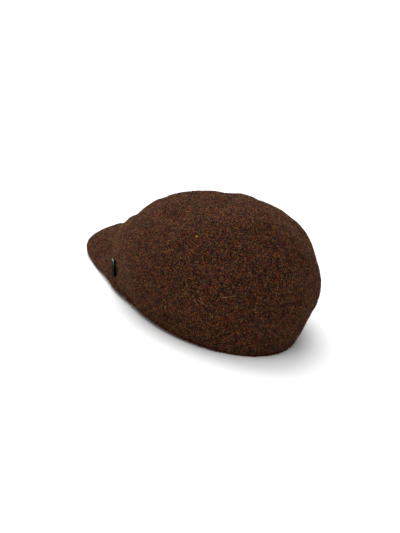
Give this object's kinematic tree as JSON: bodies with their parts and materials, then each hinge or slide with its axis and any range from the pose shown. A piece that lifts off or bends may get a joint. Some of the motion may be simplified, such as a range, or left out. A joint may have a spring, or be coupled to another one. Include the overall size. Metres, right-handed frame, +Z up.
{
  "type": "duckbill cap",
  "caption": "Soft tweed cap with a six-gore domed crown drawn forward over a short arched peak, a turned hem and a small bare badge.",
  "frame": {"origin": "centre of the cap's bounding box, on the surface it stands on", "axes": "+Z up, +Y towards the back of the cap, -Y towards the peak, +X towards the wearer's left"},
  "size_m": [0.1882, 0.2556, 0.1175],
  "materials": {
    "tweed": "woven wool tweed, dark brown with orange, olive and black flecks",
    "tweed_hem": "turned edge of the same tweed, redder",
    "gunmetal": "satin, dark green"
  },
  "bodies": {
    "root": {"panel_back_left": "tweed", "panel_back_right": "tweed", "panel_side_left": "tweed", "panel_side_right": "tweed", "panel_front_left": "tweed", "panel_front_right": "tweed", "peak": "tweed", "hem_band": "tweed_hem", "badge": "gunmetal"}
  },
  "joints": []
}
